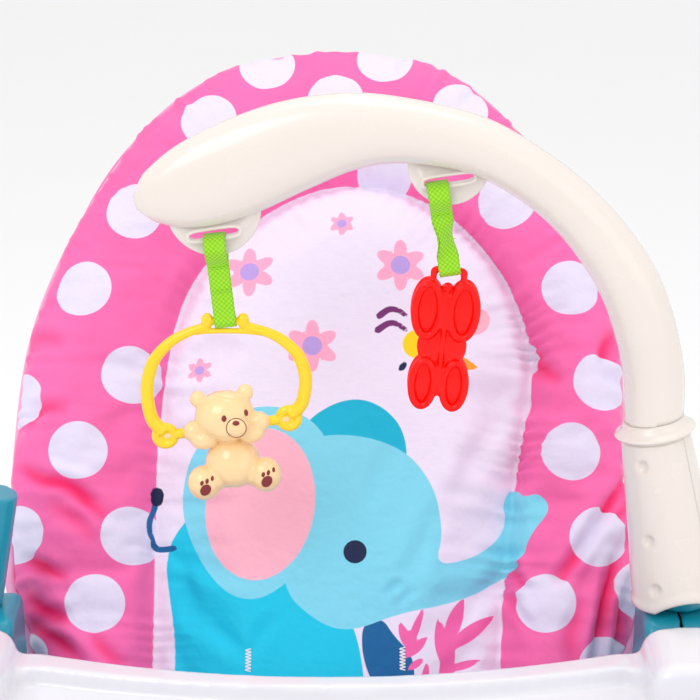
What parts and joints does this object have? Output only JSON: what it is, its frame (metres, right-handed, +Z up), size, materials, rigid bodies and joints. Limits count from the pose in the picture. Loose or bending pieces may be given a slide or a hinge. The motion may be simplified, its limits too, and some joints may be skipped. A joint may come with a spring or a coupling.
{
  "type": "bouncer seat",
  "caption": "Baby bouncer seat on rocker runners with a reclining padded back, a lift-off tray and a swivelling toy arm with hanging toys.",
  "frame": {"origin": "on the floor, in the middle of the runners' length and of the width between the tray latches", "axes": "+Z up, +Y from the footrest towards the backrest (the child faces -Y), +X towards the side that carries the toy arm"},
  "size_m": [0.468, 0.66, 0.6129],
  "materials": {
    "teal": "satin moulded plastic",
    "steel": "satin powder coat",
    "cream": "gloss",
    "white": "gloss",
    "pink": "padded woven polyester",
    "webbing": "woven webbing",
    "lime": "woven webbing",
    "yellow": "gloss",
    "peach": "gloss",
    "red": "gloss",
    "rubber": "matt",
    "purple": "satin",
    "copper": "circuit board",
    "battery": "printed cell sleeve"
  },
  "bodies": {
    "chair": {"runner_left": "teal", "runner_right": "teal", "pillar_inner_left": "teal", "pillar_inner_right": "teal", "pillar_outer_left": "teal", "pillar_outer_right": "teal", "post_left": "teal", "post_right": "teal", "runner_pad_front_left": "rubber", "runner_pad_front_right": "rubber", "runner_pad_rear_left": "rubber", "runner_pad_rear_right": "rubber", "kickstand_pin_left": "steel", "kickstand_pin_right": "steel", "cross_tube_front": "steel", "cross_tube_rear": "steel", "seat_tube": "steel", "motor": "steel", "circuit_board": "copper", "battery": "battery", "crotch_strap": "webbing", "buckle_socket": "purple", "unit_case_lower": "purple", "unit_case_upper": "purple", "seat_cushion": "pink"},
    "backrest": {"back_tube": "steel", "back_cushion": "pink", "hub_disc_left": "teal", "hub_disc_right": "teal"},
    "kickstand": {"kickstand_bail": "steel", "kickstand_foot_left": "rubber", "kickstand_foot_right": "rubber"},
    "arm_sleeve": {"sleeve_inner_half": "cream", "sleeve_outer_half": "cream"},
    "toy_arm": {"arm_collar": "cream", "arm_front_shell": "cream", "arm_back_shell": "cream"},
    "toy_strap_left": {"hanger_strap_left": "lime"},
    "toy_strap_right": {"hanger_strap_right": "lime"},
    "ring": {"toy_ring": "yellow"},
    "bear": {"tumbling_bear": "peach"},
    "butterfly_toy": {"butterfly": "red"},
    "tray": {"tray_shell": "white"},
    "latch_button_left": {"tray_latch_button_left": "teal"},
    "latch_button_right": {"tray_latch_button_right": "teal"},
    "recline_press_left": {"recline_button_left": "purple"},
    "recline_press_right": {"recline_button_right": "purple"},
    "power_press": {"power_button": "white"},
    "volume_press": {"volume_button": "white"},
    "battery_cover": {"battery_door": "purple"},
    "weight": {"motor_weight": "steel"},
    "waist_belt_left": {"waist_strap_left": "webbing", "buckle_tongue_left": "purple"},
    "waist_belt_right": {"waist_strap_right": "webbing", "buckle_tongue_right": "purple"}
  },
  "joints": [
    {"name": "backrest_recline", "type": "hinge", "parent": "chair", "child": "backrest", "pos_m": [0, 0.013, 0.165], "axis": [1, 0, 0], "range_deg": [-18, 0]},
    {"name": "kickstand_fold", "type": "hinge", "parent": "chair", "child": "kickstand", "pos_m": [0, 0.215, 0.07], "axis": [1, 0, 0], "range_deg": [-100, 0]},
    {"name": "arm_sleeve_lift", "type": "slide", "parent": "chair", "child": "arm_sleeve", "axis": [-0.1736, 0, 0.9848], "range_m": [0, 0.08]},
    {"name": "toy_arm_swivel", "type": "hinge", "parent": "arm_sleeve", "child": "toy_arm", "pos_m": [0.202, 0, 0.3163], "axis": [-0.1736, 0, 0.9848], "range_deg": [0, 110]},
    {"name": "toy_strap_left_swing", "type": "hinge", "parent": "toy_arm", "child": "toy_strap_left", "pos_m": [-0.0625, 0.0023, 0.5353], "axis": [0.9945, 0, 0.1045], "range_deg": [-15, 15]},
    {"name": "toy_strap_right_swing", "type": "hinge", "parent": "toy_arm", "child": "toy_strap_right", "pos_m": [0.05937, 0.0023, 0.56454], "axis": [0.989, 0, 0.1478], "range_deg": [-15, 15]},
    {"name": "ring_swing", "type": "hinge", "parent": "toy_strap_left", "child": "ring", "pos_m": [-0.05722, 0.0023, 0.48508], "axis": [1, 0, 0], "range_deg": [-40, 40]},
    {"name": "bear_tumble", "type": "hinge", "parent": "ring", "child": "bear", "pos_m": [-0.05722, 0.0023, 0.42308], "axis": [0.989, 0, 0.1478], "continuous": true},
    {"name": "butterfly_swing", "type": "hinge", "parent": "toy_strap_right", "child": "butterfly_toy", "pos_m": [0.06684, 0.0023, 0.51459], "axis": [0.9962, 0, -0.0872], "range_deg": [-30, 30]},
    {"name": "tray_lift", "type": "slide", "parent": "chair", "child": "tray", "axis": [0, 0, 1], "range_m": [0, 0.05]},
    {"name": "tray_latch_left", "type": "slide", "parent": "tray", "child": "latch_button_left", "axis": [1, 0, 0], "range_m": [0, 0.003], "stiffness_N_per_m": 300},
    {"name": "tray_latch_right", "type": "slide", "parent": "tray", "child": "latch_button_right", "axis": [-1, 0, 0], "range_m": [0, 0.003], "stiffness_N_per_m": 300},
    {"name": "recline_press_left", "type": "slide", "parent": "chair", "child": "recline_press_left", "axis": [1, 0, 0], "range_m": [0, 0.003], "stiffness_N_per_m": 300},
    {"name": "recline_press_right", "type": "slide", "parent": "chair", "child": "recline_press_right", "axis": [-1, 0, 0], "range_m": [0, 0.003], "stiffness_N_per_m": 300},
    {"name": "power_button_press", "type": "slide", "parent": "chair", "child": "power_press", "axis": [0, 0, -1], "range_m": [0, 0.001], "stiffness_N_per_m": 300},
    {"name": "volume_button_press", "type": "slide", "parent": "chair", "child": "volume_press", "axis": [0, 0, -1], "range_m": [0, 0.001], "stiffness_N_per_m": 300},
    {"name": "battery_door_slide", "type": "slide", "parent": "chair", "child": "battery_cover", "axis": [0, 0, -1], "range_m": [0, 0.02]},
    {"name": "motor_weight_spin", "type": "hinge", "parent": "chair", "child": "weight", "pos_m": [0.0455, -0.258, 0.0545], "axis": [1, 0, 0], "continuous": true},
    {"name": "waist_buckle_left", "type": "slide", "parent": "chair", "child": "waist_belt_left", "axis": [-1, 0, 0], "range_m": [0, 0.02]},
    {"name": "waist_buckle_right", "type": "slide", "parent": "chair", "child": "waist_belt_right", "axis": [1, 0, 0], "range_m": [0, 0.02]}
  ]
}
